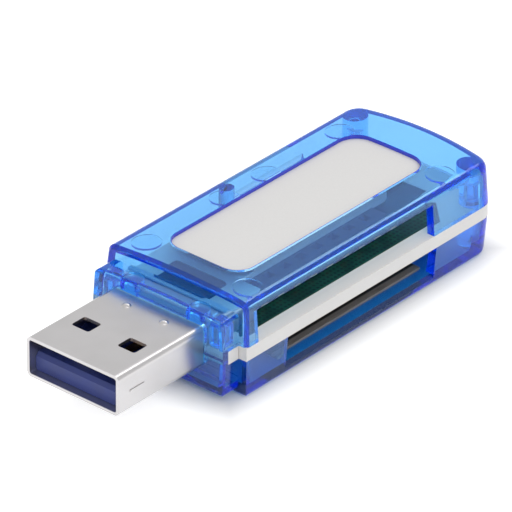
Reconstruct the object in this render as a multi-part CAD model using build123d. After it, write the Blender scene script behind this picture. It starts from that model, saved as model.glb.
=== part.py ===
from build123d import *
from math import atan, degrees, sqrt
import os

# USB card reader: two clear shells clamp a white frame that carries the circuit board.
# The plug points to -X, the long card slots face -Y, +Z is up and the part rests on z = 0.
# The origin is the middle of the overall length, on the underside. Sizes are in millimetres.

# Overall lengths and widths
plug_reach = 12.5
neck_length = 2.4
body_length = 39.9
body_width = 19.0
neck_step = 1.0

# Stack from the underside: lower shell, frame, upper shell at its long edges, crown
lower_height = 4.55
frame_height = 1.5
upper_height = 4.6
crown = 0.45

# Form of the shells
draft = 0.4
rear_bulge = 0.9
rear_corner = 2.4
top_edge = 1.1
front_edge = 0.4
bottom_edge = 0.7
neck_edge = 0.5
wall = 0.9
roof = 1.0
floor = 1.3
front_wall = 0.8
neck_drop = 1.4
neck_rise = 0.75
seam_drop = 0.9

# Label and its pocket in the upper shell
label_station = 3.9
label_length = 29.8
label_width = 10.2
label_corner = 2.3
label_thickness = 0.25
pocket_depth = 0.5

# Ejector pads, posts and beds moulded inside the shells
pad_radius = 1.55
pad_height = 0.2
pad_inset = 2.9
pad_front = 3.5
pad_middle = 21.75
pad_fore = 15.3
pad_rear = 6.5
post_radius = 1.35
post_bore = 0.55
post_inset = 2.0
side_post_radius = 0.8
side_post_gap = 0.75
pin_length = 2.2
hold_radius = 1.1
hold_inset = 1.7
bed_station = 2.2
bed_length = 1.2
bed_inset = 1.5

# USB plug
plug_width = 12.0
plug_height = 4.5
plug_depth = 7.7
plug_sheet = 0.35
plug_corner = 0.6
plug_drop = 0.08
window_station = 4.4
window_length = 2.0
window_width = 2.25
window_side = 3.0
window_corner = 0.3
nib_station = 1.65
nib_length = 2.05
nib_width = 0.2
nib_proud = 0.08
pip_station = 10.65
pip_side = 2.45
pip_radius = 0.5
pip_height = 0.25
tongue_station = 0.9
tongue_chamfer = 0.4
base_station = 9.2
plug_contact_station = 2.4
plug_contact_width = 1.0
plug_contact_inner = 1.0
plug_contact_outer = 3.5
plug_contact_tail = 0.2

# Circuit board and its seat in the frame
board_thickness = 1.0
board_gap = 1.0
post_gap = 0.75
board_corner_cut = 3.2
frame_rail = 2.0
board_seat = 0.6

# Card slots: the card's width plus play, at a station behind the inner end of the plug,
# or for the smallest one at a setback from the rear edge of the board
sd_card_width = 24.0
sd_play = 3.3
sd_end_play = 0.2
sd_station = -3.5
sd_height = 3.15
ms_card_width = 21.5
ms_play = 1.7
ms_station = 1.0
microsd_card_width = 11.0
microsd_play = 0.6
microsd_setback = 4.7
microsd_height = 1.25
m2_card_width = 12.5
m2_play = 0.6
m2_station = 0.6
m2_height = 1.8
lead_in = 0.3

# Contact combs, springs and the covers of the two small slots
strip = 0.15
sd_count = 9
sd_pitch = 2.5
ms_count = 10
ms_pitch = 1.9
microsd_count = 8
m2_count = 11
small_pitch = 1.0
spring_width = 0.9
small_width = 0.5
spring_margin = 0.7
sd_spring_margin = 1.2
spring_lift = 0.65
spring_tip = 0.8
spring_dip = 0.3
spring_tail = 0.5
comb_depth = 1.1
comb_end = 0.4
comb_setback = 0.1
small_setback = 1.2
small_comb_height = 1.3
sd_plate_margin = 2.5
sd_plate_height = 0.7
sd_window = 1.0
sd_window_setback = 0.7
ms_plate_height = 0.3
ms_plate_margin = 0.15
cover_sheet = 0.2
cover_margin = 0.1
cover_gap = 0.2
hood_station = 2.3
hood_wall = 0.4
hood_nose_station = 0.7
hood_nose_width = 2.5
upper_cover_setback = -1.75
lower_cover_setback = 0.4
microsd_cover_height = 2.0
m2_cover_height = 2.4

# Parts soldered to the board
chip_width = 5.0
chip_height = 1.2
crystal_size = (2.5, 3.2, 0.8)
regulator_size = (1.6, 2.9, 1.1)
led_size = (0.8, 1.6, 0.6)
led_inset = 2.5
capacitor_size = (1.6, 0.8, 0.8)
capacitor_count = 4
resistor_size = (1.0, 0.5, 0.35)
resistor_count = 5
edge_margin = 0.5
row_margin = 0.6

# Fits
plug_clearance = 0.06
insulator_clearance = 0.03
board_clearance = 0.1
label_clearance = 0.1
spring_clearance = 0.08
pin_clearance = 0.05

# Places that follow from the sizes above
body_rear = (plug_reach + neck_length + body_length) / 2
body_front = body_rear - body_length
neck_front = body_front - neck_length
plug_tip = neck_front - plug_reach
plug_end = neck_front + plug_depth
half_width = body_width / 2
half_neck = half_width - neck_step
frame_bottom = lower_height
frame_top = frame_bottom + frame_height
top = frame_top + upper_height + crown
seam = frame_top - seam_drop
board_top = frame_top
board_bottom = board_top - board_thickness
board_front = body_front + wall + board_gap
board_side = half_width - frame_rail
plug_axis = board_top - plug_drop
plug_top = plug_axis + plug_height / 2
plug_bottom = plug_axis - plug_height / 2
crown_radius = (half_width**2 + crown**2) / (2 * crown)
post_x = body_rear - rear_bulge - post_inset
post_y = half_width - post_inset
board_rear = post_x - post_radius - post_gap
seat_side = board_side - board_seat
sd_slot_length = sd_card_width + sd_play
ms_slot_length = ms_card_width + ms_play
microsd_slot_length = microsd_card_width + microsd_play
m2_slot_length = m2_card_width + m2_play
sd_x = plug_end + sd_station
ms_x = plug_end + ms_station
m2_x = plug_end + m2_station
microsd_x = board_rear - microsd_setback - microsd_slot_length


def body_plan(inset):
    """Plan of the main body: straight front and sides, bowed rear with rounded corners."""
    half = half_width - inset
    front = body_front + inset
    rear = body_rear - inset
    shoulder = rear - rear_bulge
    sides = Polyline((shoulder, half), (front, half), (front, -half), (shoulder, -half))
    bow = ThreePointArc((shoulder, -half), (rear, 0), (shoulder, half))
    face = make_face(sides + bow)
    corners = face.vertices().sort_by(Axis.X)[-2:]
    return fillet(corners, rear_corner - inset)


def neck_plan(inset, lead=0):
    """Plan of the neck, run back through the front wall of the main body and forward by lead."""
    front = neck_front + inset - lead
    back = body_front + wall + 2 * draft
    return Pos((front + back) / 2, 0) * Rectangle(back - front, 2 * (half_neck - inset))


def tapered(plan, wide_z, narrow_z, inset):
    """Drafted block over a plan, full size at wide_z and drawn in at narrow_z."""
    height = abs(narrow_z - wide_z)
    rising = extrude(Pos(0, 0, wide_z) * plan(inset), amount=height, taper=degrees(atan(draft / height)))
    if narrow_z > wide_z:
        return rising
    return mirror(rising, about=Plane.XY.offset(wide_z))


def under_crown(drop):
    """Everything under the crowned top face, lowered by drop."""
    centre = Pos(0, 0, top - drop - crown_radius)
    return centre * Cylinder(crown_radius, 2 * body_length, rotation=(0, 90, 0))


def block(x0, x1, y0, y1, z0, z1):
    """Box given by its six faces."""
    centre = Pos((x0 + x1) / 2, (y0 + y1) / 2, (z0 + z1) / 2)
    return centre * Box(abs(x1 - x0), abs(y1 - y0), abs(z1 - z0))


def post(x, y, radius, z0, z1):
    """Upright round post."""
    return Pos(x, y, (z0 + z1) / 2) * Cylinder(radius, z1 - z0)


def across(face, x0, x1):
    """Face drawn in Y and Z, run along X from x0 to x1."""
    return extrude(Plane.YZ.offset(x0) * face, amount=x1 - x0)


def slot(x0, length, side, mouth_z, far_z):
    """Cut through a long wall, with a lead-in on its edge at mouth_z."""
    rise = 1 if mouth_z > far_z else -1
    inner = half_width - wall - 2 * draft
    outer = half_width + wall
    bevel = half_width - draft - lead_in
    profile = Polyline(
        (side * inner, far_z),
        (side * outer, far_z),
        (side * outer, mouth_z + rise * (outer - bevel)),
        (side * bevel, mouth_z),
        (side * inner, mouth_z),
        close=True,
    )
    return across(make_face(profile), x0, x0 + length)


def row(middle, count, pitch):
    """Places of a row of like pieces, centred on middle."""
    return [middle + pitch * (i - (count - 1) / 2) for i in range(count)]


def springs(places, side, level, rise, near, far, margin, width):
    """Bent contact springs soldered to the board at level, flat from near to far, then rising to the slot."""
    z = level + rise * strip / 2
    end = seat_side - margin
    path = Polyline(
        (side * (near - spring_tail), z),
        (side * far, z),
        (side * (end - spring_tip), z + rise * spring_lift),
        (side * end, z + rise * (spring_lift - spring_dip)),
    )
    face = trace(path, strip)
    return Compound([across(face, x - width / 2, x + width / 2).solid() for x in places])


def comb(places, side, level, rise, near, far, width, height):
    """Moulded bar over the springs, notched where each spring passes."""
    end = width / 2 + comb_end
    y0 = side * near
    y1 = side * far
    bar = block(places[0] - end, places[-1] + end, y0, y1, level, level + rise * height)
    notch = width / 2 + spring_clearance
    for x in places:
        bar -= block(x - notch, x + notch, y0, y1, level, level + rise * (strip + spring_clearance))
    return bar


def slot_cover(x0, x1, y0, level, rise, height, sheet):
    """Thin hood over a small card, standing on the board and open towards the slot."""
    y1 = seat_side - cover_margin
    outer = block(x0, x1, y0, y1, level, level + rise * height)
    room = block(x0 + sheet, x1 - sheet, y0 + sheet, y1, level, level + rise * (height - sheet))
    return outer - room


def board_outline(grow):
    """Outline of the board with one corner cut off, grown on all sides."""
    length = board_rear - board_front + 2 * grow
    plan = Pos((board_front + board_rear) / 2, 0) * Rectangle(length, 2 * (board_side + grow))
    corner = plan.vertices().group_by(Axis.X)[-1].sort_by(Axis.Y)[0]
    return chamfer(corner, board_corner_cut + (2 - sqrt(2)) * grow)


def chip(size, x, y, level, rise):
    """Square part soldered to the board at level, above it or below it."""
    return Pos(x, y, level + rise * size[2] / 2) * Box(*size)


plug_outline = RectangleRounded(plug_width, plug_height, plug_corner)
plug_hole = RectangleRounded(
    plug_width + 2 * plug_clearance,
    plug_height + 2 * plug_clearance,
    plug_corner + plug_clearance,
)
plug_passage = across(Pos(0, plug_axis) * plug_hole, plug_tip, plug_end + plug_clearance)

# Upper shell: drafted and crowned cover with the neck's upper half, hollow, with its own details
body_cover = tapered(body_plan, frame_top, top, 0) & under_crown(0)
crest = body_cover.faces().sort_by(Axis.Z)[-1]
rim = crest.edges().filter_by(lambda edge: edge.center().X > body_front + wall)
body_cover = fillet(rim, top_edge)
brow = body_cover.faces().sort_by(Axis.X)[0]
brow_rim = brow.edges().filter_by(lambda edge: edge.center().Z > frame_top + draft)
body_cover = chamfer(brow_rim, front_edge)
neck_cover = tapered(lambda inset: neck_plan(inset, draft), frame_top, top, 0) & under_crown(neck_drop)
neck_cover -= block(neck_front - 2 * draft, neck_front, -half_width, half_width, 0, 2 * top)
neck_rim = neck_cover.faces().sort_by(Axis.Z)[-1].edges().sort_by(Axis.X)[:-1]
neck_cover = fillet(neck_rim, neck_edge)
body_room = tapered(body_plan, frame_top, top, wall) & under_crown(roof)
neck_room = tapered(neck_plan, frame_top, top, front_wall) & under_crown(neck_drop + front_wall)
upper_shell = body_cover + neck_cover - body_room - neck_room
upper_shell += block(neck_front, neck_front + front_wall, -half_neck, half_neck, seam, frame_top)
pad_y = half_width - pad_inset
pad_places = (
    (body_front + pad_front, pad_y),
    (body_front + pad_front, -pad_y),
    (body_front + pad_fore, pad_y),
    (body_front + pad_middle, pad_y),
    (body_rear - pad_rear, pad_y),
    (body_rear - pad_rear, -pad_y),
)
for x, y in pad_places:
    pad = post(x, y, pad_radius, frame_top, top) & body_cover
    upper_shell += pad - under_crown(roof + pad_height) & under_crown(roof - pad_height)
for side in (-1, 1):
    rear_post = post(post_x, side * post_y, post_radius, frame_top, top)
    upper_shell += rear_post & body_cover
    upper_shell -= post(post_x, side * post_y, post_bore, frame_top, frame_top + pin_length + pin_clearance)
    hold_x = neck_front + front_wall + hold_radius / 2
    hold_y = side * (plug_width / 2 - hold_inset)
    hold = post(hold_x, hold_y, hold_radius, plug_top + plug_clearance, top)
    upper_shell += hold & neck_cover
side_post_x = microsd_x - side_post_gap - side_post_radius
side_post_y = half_width - wall - side_post_radius
upper_shell += post(side_post_x, side_post_y, side_post_radius, frame_top, top) & body_cover
upper_shell -= plug_passage
upper_shell -= slot(sd_x, sd_slot_length, -1, frame_top + sd_height, frame_top)
upper_shell -= slot(microsd_x, microsd_slot_length, 1, frame_top + microsd_height, frame_top)
label_middle = Pos(body_front + label_station + label_length / 2, 0)
pocket_plan = label_middle * RectangleRounded(label_length, label_width, label_corner)
pocket = Pos(0, 0, frame_top) * extrude(pocket_plan, amount=top) - under_crown(pocket_depth)
upper_shell -= pocket

# Lower shell: drafted tray with the neck's lower half, the plug's bed and the locating pins
body_tray = tapered(body_plan, frame_bottom, 0, 0)
foot = body_tray.faces().sort_by(Axis.Z)[0].edges()
body_tray = fillet(foot, bottom_edge)
neck_tray = tapered(neck_plan, frame_bottom, neck_rise, 0)
neck_foot = neck_tray.faces().sort_by(Axis.Z)[0].edges().sort_by(Axis.X)[:-1]
neck_tray = fillet(neck_foot, neck_edge)
body_well = tapered(body_plan, frame_bottom, floor, wall)
neck_well = tapered(neck_plan, frame_bottom, neck_rise + front_wall, front_wall)
lower_shell = body_tray + neck_tray - body_well - neck_well
lower_shell += block(neck_front, neck_front + front_wall, -half_neck, half_neck, frame_bottom, seam)
bed_x = body_front + bed_station
bed_y = plug_width / 2 - bed_inset
lower_shell += block(bed_x, bed_x + bed_length, -bed_y, bed_y, floor, plug_bottom - plug_clearance)
for side in (-1, 1):
    lower_shell += post(post_x, side * post_y, post_radius, 0, frame_bottom) & body_tray
    lower_shell += post(post_x, side * post_y, post_bore - pin_clearance, floor, frame_top + pin_length)
lower_shell -= plug_passage
lower_shell -= slot(ms_x, ms_slot_length, -1, floor, frame_bottom)
lower_shell -= slot(m2_x, m2_slot_length, 1, frame_bottom - m2_height, frame_bottom)

# Middle frame: one moulding with two arms beside the plug and a stepped window for the board
arm_front = neck_front + front_wall
middle_frame = extrude(Pos(0, 0, frame_bottom) * body_plan(0), amount=frame_height)
middle_frame += block(arm_front, body_front + wall, -half_neck, half_neck, frame_bottom, frame_top)
middle_frame -= extrude(Pos(0, 0, board_bottom) * board_outline(board_clearance), amount=board_thickness)
middle_frame -= extrude(Pos(0, 0, frame_bottom) * board_outline(-board_seat), amount=frame_height)
middle_frame -= plug_passage
for side in (-1, 1):
    middle_frame -= post(post_x, side * post_y, post_bore, frame_bottom, frame_top)

# Label: thin bent sheet that lies on the pocket's crowned floor
label_plan = label_middle * RectangleRounded(
    label_length - 2 * label_clearance,
    label_width - 2 * label_clearance,
    label_corner - label_clearance,
)
label_slab = Pos(0, 0, frame_top) * extrude(label_plan, amount=top)
top_label = (label_slab & under_crown(pocket_depth - label_thickness)) - under_crown(pocket_depth)

# Circuit board: notched round the plug, one corner cut off
circuit_board = extrude(Pos(0, 0, board_bottom) * board_outline(0), amount=board_thickness)
notch_side = plug_width / 2 + board_clearance
circuit_board -= block(
    board_front, plug_end + board_clearance, -notch_side, notch_side, board_bottom, board_top
)

# USB plug: drawn steel shell with retention windows and pips, moulded insulator, flat contacts
plug_bore = RectangleRounded(
    plug_width - 2 * plug_sheet, plug_height - 2 * plug_sheet, plug_corner - plug_sheet
)
usb_plug_shell = across(Pos(0, plug_axis) * (plug_outline - plug_bore), plug_tip, plug_end)
window_middle = plug_tip + window_station + window_length / 2
window_plan = RectangleRounded(window_length, window_width, window_corner)
pip_ball = (pip_radius**2 + pip_height**2) / (2 * pip_height)
pip_x = plug_tip + pip_station
nib_x = plug_tip + nib_station
for side in (-1, 1):
    window = Pos(window_middle, side * window_side, plug_bottom) * window_plan
    usb_plug_shell -= extrude(window, amount=plug_height)
    ball = Pos(pip_x, side * pip_side, plug_top + pip_height - pip_ball) * Sphere(pip_ball)
    floor_z = plug_top - plug_sheet / 2
    reach = 2 * pip_radius
    cap = block(pip_x - reach, pip_x + reach, -plug_width, plug_width, floor_z, plug_top + pip_height)
    usb_plug_shell += ball & cap
    nib_inner = side * (plug_width / 2 - plug_sheet / 2)
    nib_outer = side * (plug_width / 2 + nib_proud)
    nib_low = plug_axis - nib_width / 2
    nib_high = plug_axis + nib_width / 2
    usb_plug_shell += block(nib_x, nib_x + nib_length, nib_inner, nib_outer, nib_low, nib_high)

bore_width = plug_width - 2 * plug_sheet - 2 * insulator_clearance
bore_height = plug_height - 2 * plug_sheet - 2 * insulator_clearance
base_section = Pos(0, plug_axis) * RectangleRounded(bore_width, bore_height, plug_corner - plug_sheet)
usb_insulator = across(base_section, plug_tip + base_station, plug_end)
tongue_start = plug_tip + tongue_station
tongue = across(base_section, tongue_start, plug_tip + base_station)
tongue &= block(tongue_start, plug_end, -plug_width, plug_width, plug_bottom, board_top)
tongue = chamfer(tongue.faces().sort_by(Axis.X)[0].edges().sort_by(Axis.Z)[-1], tongue_chamfer)
usb_insulator += tongue
usb_contacts = []
for y in (-plug_contact_outer, -plug_contact_inner, plug_contact_inner, plug_contact_outer):
    contact_half = plug_contact_width / 2
    start = plug_tip + plug_contact_station
    finish = plug_end + plug_contact_tail
    contact = block(start, finish, y - contact_half, y + contact_half, board_top, board_top + strip)
    usb_contacts.append(contact.solid())
    channel = contact_half + spring_clearance
    channel_top = board_top + strip + spring_clearance
    usb_insulator -= block(start, plug_end, y - channel, y + channel, board_top, channel_top)

# Contact combs and springs: the two large slots on the near side, the two small ones behind
sd_card_middle = sd_x + sd_slot_length - sd_end_play - sd_card_width / 2
sd_places = row(sd_card_middle, sd_count, sd_pitch)
ms_places = row(ms_x + ms_slot_length / 2, ms_count, ms_pitch)
microsd_places = row(microsd_x + microsd_slot_length / 2, microsd_count, small_pitch)
m2_places = row(m2_x + m2_slot_length / 2, m2_count, small_pitch)
comb_far = comb_setback + comb_depth
small_far = small_setback + comb_depth
sd_plate_near = cover_gap - upper_cover_setback
sd_spring_near = sd_plate_near + spring_tail
sd_plate_far = seat_side - sd_plate_margin

# The upper slot's springs run under a low plate, with a window between each two of them
sd_contact_bar = comb(
    sd_places, -1, board_top, 1, sd_plate_near, sd_plate_far, spring_width, sd_plate_height
)
for x in row(sd_card_middle, sd_count - 1, sd_pitch):
    y = -sd_plate_near - sd_window_setback
    half = sd_window / 2
    sd_contact_bar -= block(x - half, x + half, y - sd_window, y, board_top, board_top + sd_plate_height)

# The lower slot's comb stands on a plate that lies on the floor of the lower shell
ms_contact_bar = comb(
    ms_places, -1, board_bottom, -1, comb_setback, comb_far, spring_width, board_bottom - floor
)
ms_contact_bar += block(
    ms_x + ms_plate_margin,
    ms_x + ms_slot_length - ms_plate_margin,
    -board_side,
    -comb_setback,
    floor,
    floor + ms_plate_height,
)

# Parts soldered to the board: the larger ones in line under its far half, the lamp at its rear edge,
# the resistors on top, under the hood of the smallest slot
rear_edge = board_rear - edge_margin
led_x = rear_edge - led_size[0] / 2
far_middle = (small_setback + seat_side) / 2
far_room = seat_side - small_setback - 2 * row_margin
crystal_x = rear_edge - board_seat - crystal_size[0] / 2
regulator_x = crystal_x - crystal_size[0] / 2 - row_margin - regulator_size[0] / 2
m2_cover_end = m2_x + m2_slot_length + cover_sheet
capacitor_x = m2_cover_end + row_margin + capacitor_size[0] / 2
chip_front = capacitor_x + capacitor_size[0] / 2 + row_margin
chip_rear = regulator_x - regulator_size[0] / 2 - row_margin
chip_x = (chip_front + chip_rear) / 2
chip_size = (chip_rear - chip_front, chip_width, chip_height)
hood_front = plug_end + hood_station
hood_rear = microsd_x + microsd_slot_length + hood_wall
microsd_cover = slot_cover(
    hood_front, hood_rear, upper_cover_setback, board_top, 1, microsd_cover_height, hood_wall
)
microsd_cover += block(
    plug_end + hood_nose_station,
    hood_front,
    upper_cover_setback,
    upper_cover_setback + hood_nose_width,
    board_top,
    board_top + microsd_cover_height,
)
resistor_x = hood_front + hood_wall + row_margin + resistor_size[0] / 2
capacitor_pitch = (far_room - capacitor_size[1]) / (capacitor_count - 1)
resistor_pitch = (far_room - resistor_size[1]) / (resistor_count - 1)
resistors = []
for y in row(far_middle, resistor_count, resistor_pitch):
    resistors.append(chip(resistor_size, resistor_x, y, board_top, 1).solid())
capacitors = []
for y in row(far_middle, capacitor_count, capacitor_pitch):
    capacitors.append(chip(capacitor_size, capacitor_x, y, board_bottom, -1).solid())

nodes = {
    "upper_shell": upper_shell,
    "lower_shell": lower_shell,
    "middle_frame": middle_frame,
    "top_label": top_label,
    "circuit_board": circuit_board,
    "usb_plug_shell": usb_plug_shell,
    "usb_insulator": usb_insulator,
    "usb_contacts": Compound(usb_contacts),
    "sd_contact_bar": sd_contact_bar,
    "sd_contacts": springs(
        sd_places, -1, board_top, 1, sd_spring_near, sd_plate_far, sd_spring_margin, spring_width
    ),
    "ms_contact_bar": ms_contact_bar,
    "ms_contacts": springs(
        ms_places, -1, board_bottom, -1, comb_setback, comb_far, spring_margin, spring_width
    ),
    "microsd_contact_bar": comb(
        microsd_places, 1, board_top, 1, small_setback, small_far, small_width, small_comb_height
    ),
    "microsd_contacts": springs(
        microsd_places, 1, board_top, 1, small_setback, small_far, spring_margin, small_width
    ),
    "microsd_cover": microsd_cover,
    "m2_contact_bar": comb(
        m2_places, 1, board_bottom, -1, small_setback, small_far, small_width, small_comb_height
    ),
    "m2_contacts": springs(
        m2_places, 1, board_bottom, -1, small_setback, small_far, spring_margin, small_width
    ),
    "m2_cover": slot_cover(
        m2_x - cover_sheet,
        m2_cover_end,
        lower_cover_setback,
        board_bottom,
        -1,
        m2_cover_height,
        cover_sheet,
    ),
    "controller_chip": chip(chip_size, chip_x, far_middle, board_bottom, -1),
    "crystal": chip(crystal_size, crystal_x, far_middle, board_bottom, -1),
    "voltage_regulator": chip(regulator_size, regulator_x, far_middle, board_bottom, -1),
    "status_led": chip(led_size, led_x, board_side - led_inset, board_top, 1),
    "capacitors": Compound(capacitors),
    "resistors": Compound(resistors),
}

os.makedirs("parts", exist_ok=True)
for name, shape in nodes.items():
    export_step(shape, f"parts/{name}.step")
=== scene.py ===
import math

import bmesh
import bpy
from mathutils import Matrix, Vector


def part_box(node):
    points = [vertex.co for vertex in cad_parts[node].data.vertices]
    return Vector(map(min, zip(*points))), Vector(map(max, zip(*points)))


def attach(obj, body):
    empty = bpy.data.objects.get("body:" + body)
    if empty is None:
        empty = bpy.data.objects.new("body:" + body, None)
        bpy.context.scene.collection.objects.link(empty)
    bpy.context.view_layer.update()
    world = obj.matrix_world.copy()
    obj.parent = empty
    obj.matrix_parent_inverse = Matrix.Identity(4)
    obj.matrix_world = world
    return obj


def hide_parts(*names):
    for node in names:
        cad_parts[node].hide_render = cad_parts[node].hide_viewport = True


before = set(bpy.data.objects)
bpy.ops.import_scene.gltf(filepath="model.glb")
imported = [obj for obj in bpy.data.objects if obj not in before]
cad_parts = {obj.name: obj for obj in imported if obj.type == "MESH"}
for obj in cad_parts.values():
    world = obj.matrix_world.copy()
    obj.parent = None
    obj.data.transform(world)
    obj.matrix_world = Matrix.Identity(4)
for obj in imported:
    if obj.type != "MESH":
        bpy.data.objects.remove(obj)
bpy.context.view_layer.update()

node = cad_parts


# The two shells: the upper cover and the lower tray of the housing.
# They are injection moulded in clear blue acrylic from polished tools,
# and are pressed together over the frame on two pins at the rear.
def linear(code):
    """sRGB hex to linear red, green, blue and one."""
    channels = [int(code[i : i + 2], 16) / 255 for i in (1, 3, 5)]
    return tuple(c / 12.92 if c <= 0.04045 else ((c + 0.055) / 1.055) ** 2.4 for c in channels) + (1.0,)


def add(tree, kind, values=None, links=None, **settings):
    """One node, with its settings, its socket values and the sockets that feed it."""
    made = tree.nodes.new(kind)
    for name, value in settings.items():
        setattr(made, name, value)
    for socket, value in (values or {}).items():
        made.inputs[socket].default_value = value
    for socket, source in (links or {}).items():
        tree.links.new(source, made.inputs[socket])
    return made


def blank(name):
    """Empty material and its node tree."""
    material = bpy.data.materials.new(name)
    material.use_nodes = True
    material.node_tree.nodes.clear()
    return material, material.node_tree


def dress(material, *names):
    """Puts a material on carried-over nodes."""
    for name in names:
        slots = node[name].data.materials
        slots.clear()
        slots.append(material)


# Clear moulded acrylic: thin faces look pale and long paths through the wall look deep blue.
# The dye takes red first and then green, and its finest grains scatter a little blue back.
# Flow in the tool leaves long, shallow ripples. The tray is dyed deeper than the cover.
acrylic_ior = 1.49
flow_length = 0.007
ripple_height = 0.00004
grain_share = 0.075
acrylic = {}
for name, piece, dye_colour, dye_density in (
    ("clear_blue_acrylic_moulded", "upper_shell", "#21DAFE", 700.0),
    ("deep_blue_acrylic_moulded", "lower_shell", "#21E0FE", 1200.0),
):
    acrylic[piece], tree = blank(name)
    place = add(tree, "ShaderNodeTexCoord")
    flow = add(
        tree,
        "ShaderNodeTexNoise",
        {"Scale": 1 / flow_length, "Detail": 2.0},
        {"Vector": place.outputs["Object"]},
    )
    ripple = add(
        tree,
        "ShaderNodeBump",
        {"Strength": 0.05, "Distance": ripple_height},
        {"Height": flow.outputs["Fac"]},
    )
    polish = add(tree, "ShaderNodeMapRange", {"To Min": 0.02, "To Max": 0.07}, {"Value": flow.outputs["Fac"]})
    plastic = add(
        tree,
        "ShaderNodeBsdfPrincipled",
        {"Base Color": linear("#FFFFFF"), "IOR": acrylic_ior, "Transmission Weight": 1.0},
        {"Roughness": polish.outputs["Result"], "Normal": ripple.outputs["Normal"]},
    )
    grains = add(tree, "ShaderNodeBsdfDiffuse", {"Color": linear("#2F8CFF")})
    milky = add(
        tree,
        "ShaderNodeMixShader",
        {0: grain_share},
        {1: plastic.outputs["BSDF"], 2: grains.outputs["BSDF"]},
    )
    # Lamps shine straight through the wall, less what its two faces turn back.
    ray = add(tree, "ShaderNodeLightPath")
    shone_through = add(tree, "ShaderNodeBsdfTransparent", {"Color": linear("#E4E4E4")})
    seen = add(
        tree,
        "ShaderNodeMixShader",
        None,
        {0: ray.outputs["Is Shadow Ray"], 1: milky.outputs["Shader"], 2: shone_through.outputs["BSDF"]},
    )
    dye = add(tree, "ShaderNodeVolumeAbsorption", {"Color": linear(dye_colour), "Density": dye_density})
    add(
        tree,
        "ShaderNodeOutputMaterial",
        None,
        {"Surface": seen.outputs["Shader"], "Volume": dye.outputs["Volume"]},
    )
    dress(acrylic[piece], piece)


# The middle frame: a white ABS moulding that carries the board and shows as a band round the body.
# It is moulded in a lightly grained tool and clamped between the shells. The hood over the smallest
# slot is moulded in the same plastic and stands on the board.
white_abs, tree = blank("white_abs_moulded_satin")
place = add(tree, "ShaderNodeTexCoord")
# The tool's grain of 0.15 mm gives a satin sheen. It is drawn at 0.3 mm so that it shows.
tool_grain = 0.0003
grain = add(
    tree,
    "ShaderNodeTexNoise",
    {"Scale": 1 / tool_grain, "Detail": 3.0},
    {"Vector": place.outputs["Object"]},
)
cloud_size = 0.006
cloud = add(
    tree,
    "ShaderNodeTexNoise",
    {"Scale": 1 / cloud_size, "Detail": 2.0},
    {"Vector": place.outputs["Object"]},
)
tone = add(
    tree,
    "ShaderNodeMix",
    {6: linear("#D2D1D0"), 7: linear("#DAD9D8")},
    {0: cloud.outputs["Fac"]},
    data_type="RGBA",
)
# Painted light: the faces that look up lie under the cover and are mixed toward a warm white to offset the
# blue light reaching them through it; the sides keep the greyer tone.
face = add(tree, "ShaderNodeNewGeometry")
facing = add(tree, "ShaderNodeSeparateXYZ", None, {"Vector": face.outputs["Normal"]})
up_facing_share = add(
    tree,
    "ShaderNodeMapRange",
    {"From Min": 0.5, "From Max": 0.9},
    {"Value": facing.outputs["Z"]},
)
up_face_painted_warmth = add(
    tree,
    "ShaderNodeMix",
    {7: linear("#F8E9DC")},
    {0: up_facing_share.outputs["Result"], 6: tone.outputs[2]},
    data_type="RGBA",
)
sheen = add(tree, "ShaderNodeMapRange", {"To Min": 0.32, "To Max": 0.45}, {"Value": grain.outputs["Fac"]})
grain_height = 0.00002
relief = add(
    tree,
    "ShaderNodeBump",
    {"Strength": 0.15, "Distance": grain_height},
    {"Height": grain.outputs["Fac"]},
)
plastic = add(
    tree,
    "ShaderNodeBsdfPrincipled",
    {"IOR": 1.53},
    {"Base Color": up_face_painted_warmth.outputs[2], "Roughness": sheen.outputs["Result"], "Normal": relief.outputs["Normal"]},
)
add(tree, "ShaderNodeOutputMaterial", None, {"Surface": plastic.outputs["BSDF"]})
dress(white_abs, "middle_frame", "microsd_cover")
# A film of air stays between the frame and the clear plastic that rests on it.
air_film = 0.00002
air_gap = node["middle_frame"].modifiers.new("air_gap", "DISPLACE")
air_gap.strength = -air_film
air_gap.mid_level = 0.0


# The saddle: a stepped white ABS moulding that runs from the hood's front over the rear of the plug,
# with a rib along the hood's near side. It fills the space under the cover and holds the plug down.
def moulding(name, outline, place, material, round_edge):
    """Prism of an outline, with place giving a point of the solid for u, v and end 0 or 1."""
    count = len(outline)
    points = [place(u, v, end) for end in (0, 1) for u, v in outline]
    sides = [(i, (i + 1) % count, count + (i + 1) % count, count + i) for i in range(count)]
    mesh = bpy.data.meshes.new(name)
    mesh.from_pydata(points, [], [tuple(range(count))[::-1], tuple(range(count, 2 * count)), *sides])
    shape = bmesh.new()
    shape.from_mesh(mesh)
    bmesh.ops.recalc_face_normals(shape, faces=shape.faces)
    shape.to_mesh(mesh)
    shape.free()
    piece = bpy.data.objects.new(name, mesh)
    bpy.context.scene.collection.objects.link(piece)
    edge = piece.modifiers.new("moulded_edge", "BEVEL")
    edge.width = round_edge
    edge.segments = 2
    mesh.materials.append(material)
    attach(piece, "root")


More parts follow.
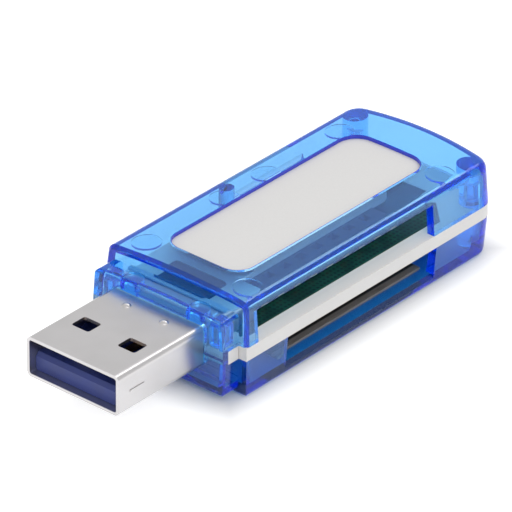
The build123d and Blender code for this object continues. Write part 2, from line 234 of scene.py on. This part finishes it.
hood_low, hood_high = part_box("microsd_cover")
plug_low, plug_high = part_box("usb_plug_shell")
plug_height = 0.0045
saddle_sheet = 0.0003
saddle_gap = 0.00002
saddle_front, saddle_notch, saddle_rear = -0.0121, -0.0068, -0.0045
saddle_near, notch_near, saddle_far = -0.0064, -0.0036, 0.0064
saddle_edge, rib_edge = 0.00008, 0.00006
saddle_low = plug_low.z + plug_height + saddle_gap
saddle_high = saddle_low + saddle_sheet
moulding(
    "plug_saddle",
    [
        (saddle_front, saddle_near),
        (saddle_notch, saddle_near),
        (saddle_notch, notch_near),
        (saddle_rear, notch_near),
        (saddle_rear, saddle_far),
        (saddle_front, saddle_far),
    ],
    lambda x, y, end: (x, y, saddle_low + end * saddle_sheet),
    white_abs,
    saddle_edge,
)
moulding(
    "saddle_leg",
    [
        (saddle_rear - 2 * saddle_sheet, saddle_low),
        (saddle_rear - saddle_sheet, hood_high.z),
        (saddle_rear, hood_high.z),
        (saddle_rear, saddle_low),
    ],
    lambda x, z, end: (x, (hood_low.y, saddle_far)[end], z),
    white_abs,
    rib_edge,
)
# Two ribs in the tray's deep blue acrylic rise beside the plug in the neck and keep it in line.
neck_front, neck_rear, neck_side, neck_top = -0.01405, -0.0126, 0.00755, 0.0085
plug_play, neck_gap, neck_edge = 0.0002, 0.00005, 0.0002
frame_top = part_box("middle_frame")[1].z
for side, name in ((-1, "neck_rib_near"), (1, "neck_rib_far")):
    moulding(
        name,
        [
            (neck_front, side * (plug_high.y + plug_play)),
            (neck_rear, side * (plug_high.y + plug_play)),
            (neck_rear, side * neck_side),
            (neck_front, side * neck_side),
        ],
        lambda x, y, end: (x, y, (frame_top + neck_gap, neck_top)[end]),
        acrylic["lower_shell"],
        neck_edge,
    )

plate_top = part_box("sd_contact_bar")[1].z
rib_setback, rib_length, rib_width, rib_chamfer = 0.0016, 0.0225, 0.0006, 0.0002
rib_near = hood_low.y - rib_width
moulding(
    "hood_rib",
    [
        (hood_low.y, plate_top),
        (rib_near, plate_top),
        (rib_near, hood_high.z - rib_chamfer),
        (rib_near + rib_chamfer, hood_high.z),
        (hood_low.y, hood_high.z),
    ],
    lambda y, z, end: (hood_low.x + rib_setback + end * rib_length, y, z),
    white_abs,
    rib_edge,
)


# The circuit board: a 1 mm glass-fibre panel with green solder mask over copper tracks.
# It lies in the stepped window of the frame.
board_mask, tree = blank("green_solder_mask_on_glass_fibre")
place = add(tree, "ShaderNodeTexCoord")
# A grid of dark plated holes 0.55 mm apart, over copper that shows as a paler cloud.
copper_patch, hole_pitch, copper_step = 0.003, 0.00055, 0.00003
pour = add(
    tree,
    "ShaderNodeTexNoise",
    {"Scale": 1 / copper_patch, "Detail": 1.0},
    {"Vector": place.outputs["Object"]},
)
copper = add(tree, "ShaderNodeMapRange", {"From Min": 0.46, "From Max": 0.5}, {"Value": pour.outputs["Fac"]})
tone = add(
    tree,
    "ShaderNodeMix",
    {6: linear("#0C3B2E"), 7: linear("#124B3B")},
    {0: copper.outputs["Result"]},
    data_type="RGBA",
)
holes = add(
    tree,
    "ShaderNodeTexVoronoi",
    {"Scale": 1 / hole_pitch, "Randomness": 0.1},
    {"Vector": place.outputs["Object"]},
    voronoi_dimensions="2D",
)
ring = add(
    tree,
    "ShaderNodeMapRange",
    {"From Min": 0.36, "From Max": 0.24},
    {"Value": holes.outputs["Distance"]},
)
spotted = add(
    tree,
    "ShaderNodeMix",
    {7: linear("#031A13")},
    {0: ring.outputs["Result"], 6: tone.outputs[2]},
    data_type="RGBA",
)
step = add(
    tree,
    "ShaderNodeBump",
    {"Strength": 0.3, "Distance": copper_step},
    {"Height": copper.outputs["Result"]},
)
mask = add(
    tree,
    "ShaderNodeBsdfPrincipled",
    {"Roughness": 0.35, "IOR": 1.5},
    {"Base Color": spotted.outputs[2], "Normal": step.outputs["Normal"]},
)
add(tree, "ShaderNodeOutputMaterial", None, {"Surface": mask.outputs["BSDF"]})
dress(board_mask, "circuit_board")


# Black parts of the board: the controller and the regulator under it and the resistors on top.
# They are cast in moulding compound and soldered down by their ends.
epoxy_black, tree = blank("black_epoxy_moulding_compound")
place = add(tree, "ShaderNodeTexCoord")
# Filler grit of 0.15 mm gives a fine matt speckle.
grit_size, grit_height = 0.00015, 0.00002
grit = add(
    tree,
    "ShaderNodeTexNoise",
    {"Scale": 1 / grit_size, "Detail": 2.0},
    {"Vector": place.outputs["Object"]},
)
tone = add(
    tree,
    "ShaderNodeMix",
    {6: linear("#1A1B1E"), 7: linear("#2A2B2F")},
    {0: grit.outputs["Fac"]},
    data_type="RGBA",
)
relief = add(
    tree,
    "ShaderNodeBump",
    {"Strength": 0.2, "Distance": grit_height},
    {"Height": grit.outputs["Fac"]},
)
compound = add(
    tree,
    "ShaderNodeBsdfPrincipled",
    {"Roughness": 0.5},
    {"Base Color": tone.outputs[2], "Normal": relief.outputs["Normal"]},
)
add(tree, "ShaderNodeOutputMaterial", None, {"Surface": compound.outputs["BSDF"]})
dress(epoxy_black, "controller_chip", "voltage_regulator", "resistors")


# The capacitors under the board, which are fired ceramic blocks, and the status lamp,
# which is cast in resin. Both are soldered to the board by their ends.
ceramic_tan, tree = blank("fired_ceramic_tan")
place = add(tree, "ShaderNodeTexCoord")
# Flecks of 0.2 mm break up the dull tan of the fired block.
fleck_size = 0.0002
fleck = add(
    tree,
    "ShaderNodeTexNoise",
    {"Scale": 1 / fleck_size, "Detail": 2.0},
    {"Vector": place.outputs["Object"]},
)
tone = add(
    tree,
    "ShaderNodeMix",
    {6: linear("#8D6B4B"), 7: linear("#A5835F")},
    {0: fleck.outputs["Fac"]},
    data_type="RGBA",
)
body = add(tree, "ShaderNodeBsdfPrincipled", {"Roughness": 0.4}, {"Base Color": tone.outputs[2]})
add(tree, "ShaderNodeOutputMaterial", None, {"Surface": body.outputs["BSDF"]})
dress(ceramic_tan, "capacitors")

resin_pale, tree = blank("cast_epoxy_resin_pale")
place = add(tree, "ShaderNodeTexCoord")
# The resin is pale and slightly cloudy, in patches of 0.4 mm.
haze_size = 0.0004
haze = add(
    tree,
    "ShaderNodeTexNoise",
    {"Scale": 1 / haze_size, "Detail": 2.0},
    {"Vector": place.outputs["Object"]},
)
tone = add(
    tree,
    "ShaderNodeMix",
    {6: linear("#E8E6D2"), 7: linear("#F4F3E6")},
    {0: haze.outputs["Fac"]},
    data_type="RGBA",
)
lens = add(tree, "ShaderNodeBsdfPrincipled", {"Roughness": 0.2, "IOR": 1.54}, {"Base Color": tone.outputs[2]})
add(tree, "ShaderNodeOutputMaterial", None, {"Surface": lens.outputs["BSDF"]})
dress(resin_pale, "status_led")


# The contact combs of the upper long slot and of the two small slots: bars of glass-filled nylon.
# They are moulded, and are held down by the soldered springs that pass through them.
nylon_slate, tree = blank("slate_glass_filled_nylon_moulded")
place = add(tree, "ShaderNodeTexCoord")
# Glass fibre near the surface gives an uneven, dull slate grey in patches of 0.3 mm.
fibre_patch = 0.0003
fibre = add(
    tree,
    "ShaderNodeTexNoise",
    {"Scale": 1 / fibre_patch, "Detail": 3.0, "Distortion": 0.4},
    {"Vector": place.outputs["Object"]},
)
tone = add(
    tree,
    "ShaderNodeMix",
    {6: linear("#5C606A"), 7: linear("#70747E")},
    {0: fibre.outputs["Fac"]},
    data_type="RGBA",
)
matt = add(tree, "ShaderNodeMapRange", {"To Min": 0.4, "To Max": 0.6}, {"Value": fibre.outputs["Fac"]})
bar = add(
    tree,
    "ShaderNodeBsdfPrincipled",
    {"IOR": 1.53},
    {"Base Color": tone.outputs[2], "Roughness": matt.outputs["Result"]},
)
add(tree, "ShaderNodeOutputMaterial", None, {"Surface": bar.outputs["BSDF"]})
dress(nylon_slate, "sd_contact_bar", "microsd_contact_bar", "m2_contact_bar")


# The pad on the saddle: a strip of black foam rubber, cut with round corners and stuck down.
# It takes up the play between the plug and the cover.
foam_black, tree = blank("black_foam_rubber_cut")
place = add(tree, "ShaderNodeTexCoord")
# Cells of 0.25 mm leave a fine, dull pitting.
cell_size, cell_depth = 0.00025, 0.00005
cells = add(tree, "ShaderNodeTexVoronoi", {"Scale": 1 / cell_size}, {"Vector": place.outputs["Object"]})
tone = add(
    tree,
    "ShaderNodeMix",
    {6: linear("#1C1E22"), 7: linear("#2E3035")},
    {0: cells.outputs["Distance"]},
    data_type="RGBA",
)
pitting = add(
    tree,
    "ShaderNodeBump",
    {"Strength": 0.4, "Distance": cell_depth},
    {"Height": cells.outputs["Distance"]},
)
foam = add(
    tree,
    "ShaderNodeBsdfPrincipled",
    {"Roughness": 0.8},
    {"Base Color": tone.outputs[2], "Normal": pitting.outputs["Normal"]},
)
add(tree, "ShaderNodeOutputMaterial", None, {"Surface": foam.outputs["BSDF"]})
pad_front, pad_rear = -0.0118, -0.0082
pad_near, pad_far = -0.0033, 0.0034
pad_corner, pad_sheet, pad_edge = 0.0004, 0.0002, 0.00005
pad_outline = []
for quarter, (x, y) in enumerate(
    (
        (pad_rear - pad_corner, pad_far - pad_corner),
        (pad_front + pad_corner, pad_far - pad_corner),
        (pad_front + pad_corner, pad_near + pad_corner),
        (pad_rear - pad_corner, pad_near + pad_corner),
    )
):
    for turn in range(5):
        angle = math.radians(90 * quarter + 22.5 * turn)
        pad_outline.append((x + pad_corner * math.cos(angle), y + pad_corner * math.sin(angle)))
moulding(
    "saddle_pad",
    pad_outline,
    lambda x, y, end: (x, y, saddle_high + end * pad_sheet),
    foam_black,
    pad_edge,
)


# The lower slot's comb and the plate it stands on: grey glass-filled nylon, left rough by the tool.
# The plate lies on the floor of the lower shell and shows in the slot.
nylon_grey, tree = blank("grey_glass_filled_nylon_rough")
place = add(tree, "ShaderNodeTexCoord")
# Streaks of glass fibre 0.2 mm wide run along the slot and give a brushed, uneven grey.
streak_width, streak_height = 0.0002, 0.00004
along = add(tree, "ShaderNodeMapping", {"Scale": (0.12, 1.0, 1.0)}, {"Vector": place.outputs["Object"]})
fibre = add(
    tree,
    "ShaderNodeTexNoise",
    {"Scale": 1 / streak_width, "Detail": 3.0},
    {"Vector": along.outputs["Vector"]},
)
tone = add(
    tree,
    "ShaderNodeMix",
    {6: linear("#575453"), 7: linear("#918B89")},
    {0: fibre.outputs["Fac"]},
    data_type="RGBA",
)
# Painted shade: behind a grey outer strip 0.7 mm wide, the plate is painted black where the frame's shade
# falls deeper in the slot.
plate_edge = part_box("ms_contact_bar")[0].y
lit_edge_width, shade_edge_blur = 0.0007, 0.0001
across = add(tree, "ShaderNodeSeparateXYZ", None, {"Vector": place.outputs["Object"]})
painted_shade_mask = add(
    tree,
    "ShaderNodeMapRange",
    {"From Min": plate_edge + lit_edge_width, "From Max": plate_edge + lit_edge_width + shade_edge_blur},
    {"Value": across.outputs["Y"]},
)
painted_shade_tone = add(
    tree,
    "ShaderNodeMix",
    {7: linear("#141518")},
    {0: painted_shade_mask.outputs["Result"], 6: tone.outputs[2]},
    data_type="RGBA",
)
relief = add(
    tree,
    "ShaderNodeBump",
    {"Strength": 0.4, "Distance": streak_height},
    {"Height": fibre.outputs["Fac"]},
)
plate = add(
    tree,
    "ShaderNodeBsdfPrincipled",
    {"Roughness": 0.6, "IOR": 1.53},
    {"Base Color": painted_shade_tone.outputs[2], "Normal": relief.outputs["Normal"]},
)
add(tree, "ShaderNodeOutputMaterial", None, {"Surface": plate.outputs["BSDF"]})
dress(nylon_grey, "ms_contact_bar")


# The contact springs and the plug's contacts: stamped bronze strip with a gold flash.
# The springs are bent up from the board, and the plug's contacts lie in channels of the tongue.
gold_flash, tree = blank("gold_flashed_bronze_stamped")
place = add(tree, "ShaderNodeTexCoord")
# The flash is thin, so the brown of the bronze shows through it in patches of 0.4 mm.
flash_patch = 0.0004
rolled = add(
    tree,
    "ShaderNodeTexNoise",
    {"Scale": 1 / flash_patch, "Detail": 2.0},
    {"Vector": place.outputs["Object"]},
)
tone = add(
    tree,
    "ShaderNodeMix",
    {6: linear("#A27B42"), 7: linear("#B98F55")},
    {0: rolled.outputs["Fac"]},
    data_type="RGBA",
)
strip = add(
    tree,
    "ShaderNodeBsdfPrincipled",
    {"Metallic": 1.0, "Roughness": 0.28},
    {"Base Color": tone.outputs[2]},
)
add(tree, "ShaderNodeOutputMaterial", None, {"Surface": strip.outputs["BSDF"]})
dress(gold_flash, "usb_contacts", "sd_contacts", "ms_contacts", "microsd_contacts", "m2_contacts")


# The plug's shell, the cover of the lower small slot and the crystal's can.
# They are folded or drawn from thin steel and nickel plated, with a satin rolled surface.
nickel_steel, tree = blank("nickel_plated_steel_satin")
place = add(tree, "ShaderNodeTexCoord")
# Rolling lines 0.12 mm apart run along the sheet, drawn twice as wide so that they show.
rolling_line, line_depth, steel_cloud = 0.00024, 0.00001, 0.004
along = add(tree, "ShaderNodeMapping", {"Scale": (0.04, 1.0, 1.0)}, {"Vector": place.outputs["Object"]})
lines = add(
    tree,
    "ShaderNodeTexNoise",
    {"Scale": 1 / rolling_line, "Detail": 2.0},
    {"Vector": along.outputs["Vector"]},
)
cloud = add(
    tree,
    "ShaderNodeTexNoise",
    {"Scale": 1 / steel_cloud, "Detail": 2.0},
    {"Vector": place.outputs["Object"]},
)
tone = add(
    tree,
    "ShaderNodeMix",
    {6: linear("#C2C0C0"), 7: linear("#D0CECF")},
    {0: cloud.outputs["Fac"]},
    data_type="RGBA",
)
satin = add(tree, "ShaderNodeMapRange", {"To Min": 0.27, "To Max": 0.33}, {"Value": lines.outputs["Fac"]})
relief = add(
    tree,
    "ShaderNodeBump",
    {"Strength": 0.03, "Distance": line_depth},
    {"Height": lines.outputs["Fac"]},
)
sheet = add(
    tree,
    "ShaderNodeBsdfPrincipled",
    {"Metallic": 1.0},
    {"Base Color": tone.outputs[2], "Roughness": satin.outputs["Result"], "Normal": relief.outputs["Normal"]},
)
add(tree, "ShaderNodeOutputMaterial", None, {"Surface": sheet.outputs["BSDF"]})
dress(nickel_steel, "usb_plug_shell", "m2_cover", "crystal")


# The plug's insulator: a blue PBT moulding that fills the shell's rear and carries the tongue.
# It is pushed into the shell from behind.
blue_pbt, tree = blank("blue_pbt_moulded")
place = add(tree, "ShaderNodeTexCoord")
# The melt leaves faint clouds of 1.5 mm in the tone and the gloss.
melt_cloud = 0.0015
cloud = add(
    tree,
    "ShaderNodeTexNoise",
    {"Scale": 1 / melt_cloud, "Detail": 3.0},
    {"Vector": place.outputs["Object"]},
)
tone = add(
    tree,
    "ShaderNodeMix",
    {6: linear("#1E2C6A"), 7: linear("#2A3C86")},
    {0: cloud.outputs["Fac"]},
    data_type="RGBA",
)
matt = add(tree, "ShaderNodeMapRange", {"To Min": 0.35, "To Max": 0.5}, {"Value": cloud.outputs["Fac"]})
tongue = add(
    tree,
    "ShaderNodeBsdfPrincipled",
    {"IOR": 1.54},
    {"Base Color": tone.outputs[2], "Roughness": matt.outputs["Result"]},
)
add(tree, "ShaderNodeOutputMaterial", None, {"Surface": tongue.outputs["BSDF"]})
dress(blue_pbt, "usb_insulator")


# The label: a plain white polycarbonate film 0.1 mm thick, matt coated and cut with round corners.
# It is stuck on the crowned floor of the pocket in the upper shell.
white_film, tree = blank("white_polycarbonate_film_matt")
place = add(tree, "ShaderNodeTexCoord")
# The matt coat's grain of 0.1 mm dulls the film. It is drawn at 0.2 mm so that it shows.
coat_grain, coat_height = 0.0002, 0.00001
grain = add(
    tree,
    "ShaderNodeTexNoise",
    {"Scale": 1 / coat_grain, "Detail": 2.0},
    {"Vector": place.outputs["Object"]},
)
tone = add(
    tree,
    "ShaderNodeMix",
    {6: linear("#D1D0CF"), 7: linear("#D7D6D5")},
    {0: grain.outputs["Fac"]},
    data_type="RGBA",
)
relief = add(
    tree,
    "ShaderNodeBump",
    {"Strength": 0.1, "Distance": coat_height},
    {"Height": grain.outputs["Fac"]},
)
film = add(
    tree,
    "ShaderNodeBsdfPrincipled",
    {"Roughness": 0.5, "IOR": 1.5},
    {"Base Color": tone.outputs[2], "Normal": relief.outputs["Normal"]},
)
add(tree, "ShaderNodeOutputMaterial", None, {"Surface": film.outputs["BSDF"]})
label_low, label_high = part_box("top_label")
label_solid, label_sheet, label_corner, label_rows = 0.00025, 0.0001, 0.0022, 48
label_middle = (label_low.x + label_high.x) / 2
half_length = (label_high.x - label_low.x) / 2
half_width = (label_high.y - label_low.y) / 2
crown_radius = half_width**2 / 2 / (label_high.z - label_low.z - label_solid)
pocket_floor = label_high.z - label_solid
label_points = []
for row in range(label_rows + 1):
    y = -half_width * math.cos(math.pi * row / label_rows)
    past = max(0.0, abs(y) - half_width + label_corner)
    reach = half_length - label_corner + math.sqrt(label_corner**2 - past**2)
    for lift in (0, label_sheet):
        for x in (-reach, reach):
            label_points.append((label_middle + x, y, pocket_floor - y * y / 2 / crown_radius + lift))
label_faces = [(0, 1, 3, 2), tuple(4 * label_rows + i for i in (0, 2, 3, 1))]
for row in range(label_rows):
    for a, b in ((0, 2), (2, 3), (3, 1), (1, 0)):
        label_faces.append((4 * row + a, 4 * row + b, 4 * row + 4 + b, 4 * row + 4 + a))
label_mesh = bpy.data.meshes.new("label_film")
label_mesh.from_pydata(label_points, [], label_faces)
label_film = bpy.data.objects.new("label_film", label_mesh)
bpy.context.scene.collection.objects.link(label_film)
label_mesh.materials.append(white_film)
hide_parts("top_label")
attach(label_film, "root")


# The lining of the label's pocket: the wall that the label is set in, which is seen along the plastic
# and so looks deep blue. It stands in the gap round the label, a little below the cover's crown.
deep_blue, tree = blank("deep_blue_acrylic_polished_edge")
place = add(tree, "ShaderNodeTexCoord")
# The cutter's marks in the tool, 0.5 mm apart, leave the edge slightly uneven.
mark_pitch = 0.0005
marks = add(
    tree,
    "ShaderNodeTexNoise",
    {"Scale": 1 / mark_pitch, "Detail": 2.0},
    {"Vector": place.outputs["Object"]},
)
tone = add(
    tree,
    "ShaderNodeMix",
    {6: linear("#2A33B4"), 7: linear("#3A48CC")},
    {0: marks.outputs["Fac"]},
    data_type="RGBA",
)
gloss = add(tree, "ShaderNodeMapRange", {"To Min": 0.08, "To Max": 0.2}, {"Value": marks.outputs["Fac"]})
edge = add(
    tree,
    "ShaderNodeBsdfPrincipled",
    {"IOR": acrylic_ior},
    {"Base Color": tone.outputs[2], "Roughness": gloss.outputs["Result"]},
)
add(tree, "ShaderNodeOutputMaterial", None, {"Surface": edge.outputs["BSDF"]})
lining_depth, lining_top, lining_gap, lining_sheet = 0.00048, 0.00003, 0.00002, 0.00006
corner_turns = 8
cover_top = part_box("upper_shell")[1].z
rings = []
for out, depth in (
    (lining_gap, lining_depth),
    (lining_gap, lining_top),
    (lining_gap + lining_sheet, lining_top),
    (lining_gap + lining_sheet, lining_depth),
):
    ring = []
    for quarter, (right_sign, far_sign) in enumerate(((1, 1), (-1, 1), (-1, -1), (1, -1))):
        for turn in range(corner_turns + 1):
            angle = math.radians(90 * quarter + 90 / corner_turns * turn)
            x = right_sign * (half_length - label_corner) + (label_corner + out) * math.cos(angle)
            y = far_sign * (half_width - label_corner) + (label_corner + out) * math.sin(angle)
            ring.append((label_middle + x, y, cover_top - y * y / 2 / crown_radius - depth))
    rings.append(ring)
count = len(rings[0])
lining_mesh = bpy.data.meshes.new("pocket_lining")
lining_mesh.from_pydata(
    [point for ring in rings for point in ring],
    [],
    [
        (a * count + i, a * count + (i + 1) % count, b * count + (i + 1) % count, b * count + i)
        for a, b in ((0, 1), (1, 2), (2, 3), (3, 0))
        for i in range(count)
    ],
)
lining = bpy.data.objects.new("pocket_lining", lining_mesh)
bpy.context.scene.collection.objects.link(lining)
lining_mesh.materials.append(deep_blue)
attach(lining, "root")


# The table: a plain white card under the part. What the camera, metal and clear plastic see of it
# is a white glow, faded close round and under the tray as a painted shadow, and it still takes the part's
# real shadow.
table_reach, table_drop = 3.0, 0.00002
table_mesh = bpy.data.meshes.new("table")
table_mesh.from_pydata(
    [
        (-table_reach, -table_reach, 0),
        (table_reach, -table_reach, 0),
        (table_reach, table_reach, 0),
        (-table_reach, table_reach, 0),
    ],
    [],
    [(0, 1, 2, 3)],
)
table = bpy.data.objects.new("table", table_mesh)
bpy.context.scene.collection.objects.link(table)
table.location.z = -table_drop
white_card, tree = blank("white_card_matt")
place = add(tree, "ShaderNodeTexCoord")
tray_low, tray_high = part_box("lower_shell")
offset = add(
    tree,
    "ShaderNodeVectorMath",
    {1: [(a + b) / 2 for a, b in zip(tray_low, tray_high)]},
    {0: place.outputs["Object"]},
    operation="SUBTRACT",
)
span = add(tree, "ShaderNodeVectorMath", None, {0: offset.outputs["Vector"]}, operation="ABSOLUTE")
outside = add(
    tree,
    "ShaderNodeVectorMath",
    {1: [(b - a) / 2 for a, b in zip(tray_low, tray_high)]},
    {0: span.outputs["Vector"]},
    operation="SUBTRACT",
)
apart = add(tree, "ShaderNodeSeparateXYZ", None, {"Vector": outside.outputs["Vector"]})
gap = add(tree, "ShaderNodeMath", None, {0: apart.outputs["X"], 1: apart.outputs["Y"]}, operation="MAXIMUM")
# Painted contact shadow: the glow fades to nothing from 4 mm outside to 2 mm inside the tray's outline.
painted_shadow_inside, painted_shadow_outside, card_glow = 0.002, 0.004, 0.55
glow_past_painted_shadow = add(
    tree,
    "ShaderNodeMapRange",
    {"From Min": -painted_shadow_inside, "From Max": painted_shadow_outside, "To Max": card_glow},
    {"Value": gap.outputs["Value"]},
    interpolation_type="SMOOTHSTEP",
)
ray = add(tree, "ShaderNodeLightPath")
direct = add(
    tree,
    "ShaderNodeMath",
    None,
    {0: ray.outputs["Is Camera Ray"], 1: ray.outputs["Is Glossy Ray"]},
    operation="MAXIMUM",
)
shown = add(
    tree,
    "ShaderNodeMath",
    None,
    {0: direct.outputs["Value"], 1: ray.outputs["Is Transmission Ray"]},
    operation="MAXIMUM",
)
matt = add(tree, "ShaderNodeBsdfDiffuse", {"Color": linear("#E8E8E8")})
glow = add(
    tree,
    "ShaderNodeEmission",
    {"Color": linear("#FFFFFF")},
    {"Strength": glow_past_painted_shadow.outputs["Result"]},
)
lit = add(tree, "ShaderNodeAddShader", None, {0: matt.outputs["BSDF"], 1: glow.outputs["Emission"]})
card = add(
    tree,
    "ShaderNodeMixShader",
    None,
    {0: shown.outputs["Value"], 1: matt.outputs["BSDF"], 2: lit.outputs["Shader"]},
)
add(tree, "ShaderNodeOutputMaterial", None, {"Surface": card.outputs["Shader"]})
table_mesh.materials.append(white_card)


# The studio: pale walls, white at the table's line and nearly as white on the side of the camera.
# Three soft lamps hang in it: a wide one over the plug end, one high behind and one off the rear end.
scene = bpy.context.scene
scene.view_settings.view_transform = "Standard"
scene.cycles.max_bounces = 32
scene.cycles.glossy_bounces = 24
scene.cycles.transmission_bounces = 24
surround = bpy.data.worlds.new("surround")
scene.world = surround
surround.use_nodes = True
tree = surround.node_tree
tree.nodes.clear()
way = add(tree, "ShaderNodeTexCoord")
rise = add(tree, "ShaderNodeSeparateXYZ", None, {"Vector": way.outputs["Generated"]})
bands = add(tree, "ShaderNodeValToRGB", None, {"Fac": rise.outputs["Z"]})
for stop, height, grey in ((0, 0.12, 1.0), (1, 0.2, 0.8)):
    bands.color_ramp.elements[stop].position = height
    bands.color_ramp.elements[stop].color = (grey, grey, grey, 1.0)
camera_side, camera_wall = (-0.763, -0.647, 0.0), (0.95, 0.95, 0.95, 1.0)
front = add(
    tree,
    "ShaderNodeVectorMath",
    {1: camera_side},
    {0: way.outputs["Generated"]},
    operation="DOT_PRODUCT",
)
wall = add(
    tree,
    "ShaderNodeMapRange",
    {"From Min": 0.0, "From Max": 0.5},
    {"Value": front.outputs["Value"]},
    interpolation_type="SMOOTHSTEP",
)
round_about = add(
    tree,
    "ShaderNodeMix",
    {7: camera_wall},
    {0: wall.outputs["Result"], 6: bands.outputs["Color"]},
    data_type="RGBA",
)
sky = add(tree, "ShaderNodeBackground", {"Strength": 1.0}, {"Color": round_about.outputs[2]})
add(tree, "ShaderNodeOutputWorld", None, {"Surface": sky.outputs["Background"]})

for name, spot, size, power in (
    ("key_softbox", (-0.22, -0.46, 0.38), 0.4, 0.85),
    ("rear_softbox", (0.24, 0.21, 0.51), 0.3, 0.2),
    ("rim_softbox", (0.395, -0.017, 0.451), 0.2, 0.35),
):
    lamp = bpy.data.lights.new(name, "AREA")
    lamp.shape = "SQUARE"
    lamp.size = size
    lamp.energy = power
    holder = bpy.data.objects.new(name, lamp)
    scene.collection.objects.link(holder)
    holder.location = spot
    holder.rotation_mode = "QUATERNION"
    holder.rotation_quaternion = (-Vector(spot)).to_track_quat("-Z", "Y")


# The camera: a long lens about 0.6 m away, above the plug end and the slotted side.
# It is set off to the right of the plug's tip and above it, so that the part fills the picture.
yaw = math.radians(49.694)
pitch = math.radians(30.4206)
roll = math.radians(0.4963)
distance, shift_right, shift_up = 0.60014, 0.0178225, 0.0116771
film_width, picture_width, focal_pixels = 36, 512, 6180.4
plug_tip = Vector((-0.0274, 0, 0.00597))
back = Vector((-math.sin(yaw) * math.cos(pitch), -math.cos(yaw) * math.cos(pitch), math.sin(pitch)))
level = Vector((math.cos(yaw), -math.sin(yaw), 0))
upright = back.cross(level)
right = math.cos(roll) * level + math.sin(roll) * upright
up = math.cos(roll) * upright - math.sin(roll) * level
long_lens = bpy.data.cameras.new("long_lens")
long_lens.sensor_width = film_width
long_lens.lens = film_width * focal_pixels / picture_width
long_lens.clip_start = 0.05
long_lens.clip_end = 20
camera = bpy.data.objects.new("camera", long_lens)
scene.collection.objects.link(camera)
camera.matrix_world = Matrix((right, up, back)).transposed().to_4x4()
camera.location = plug_tip + right * shift_right + up * shift_up + back * distance
scene.camera = camera
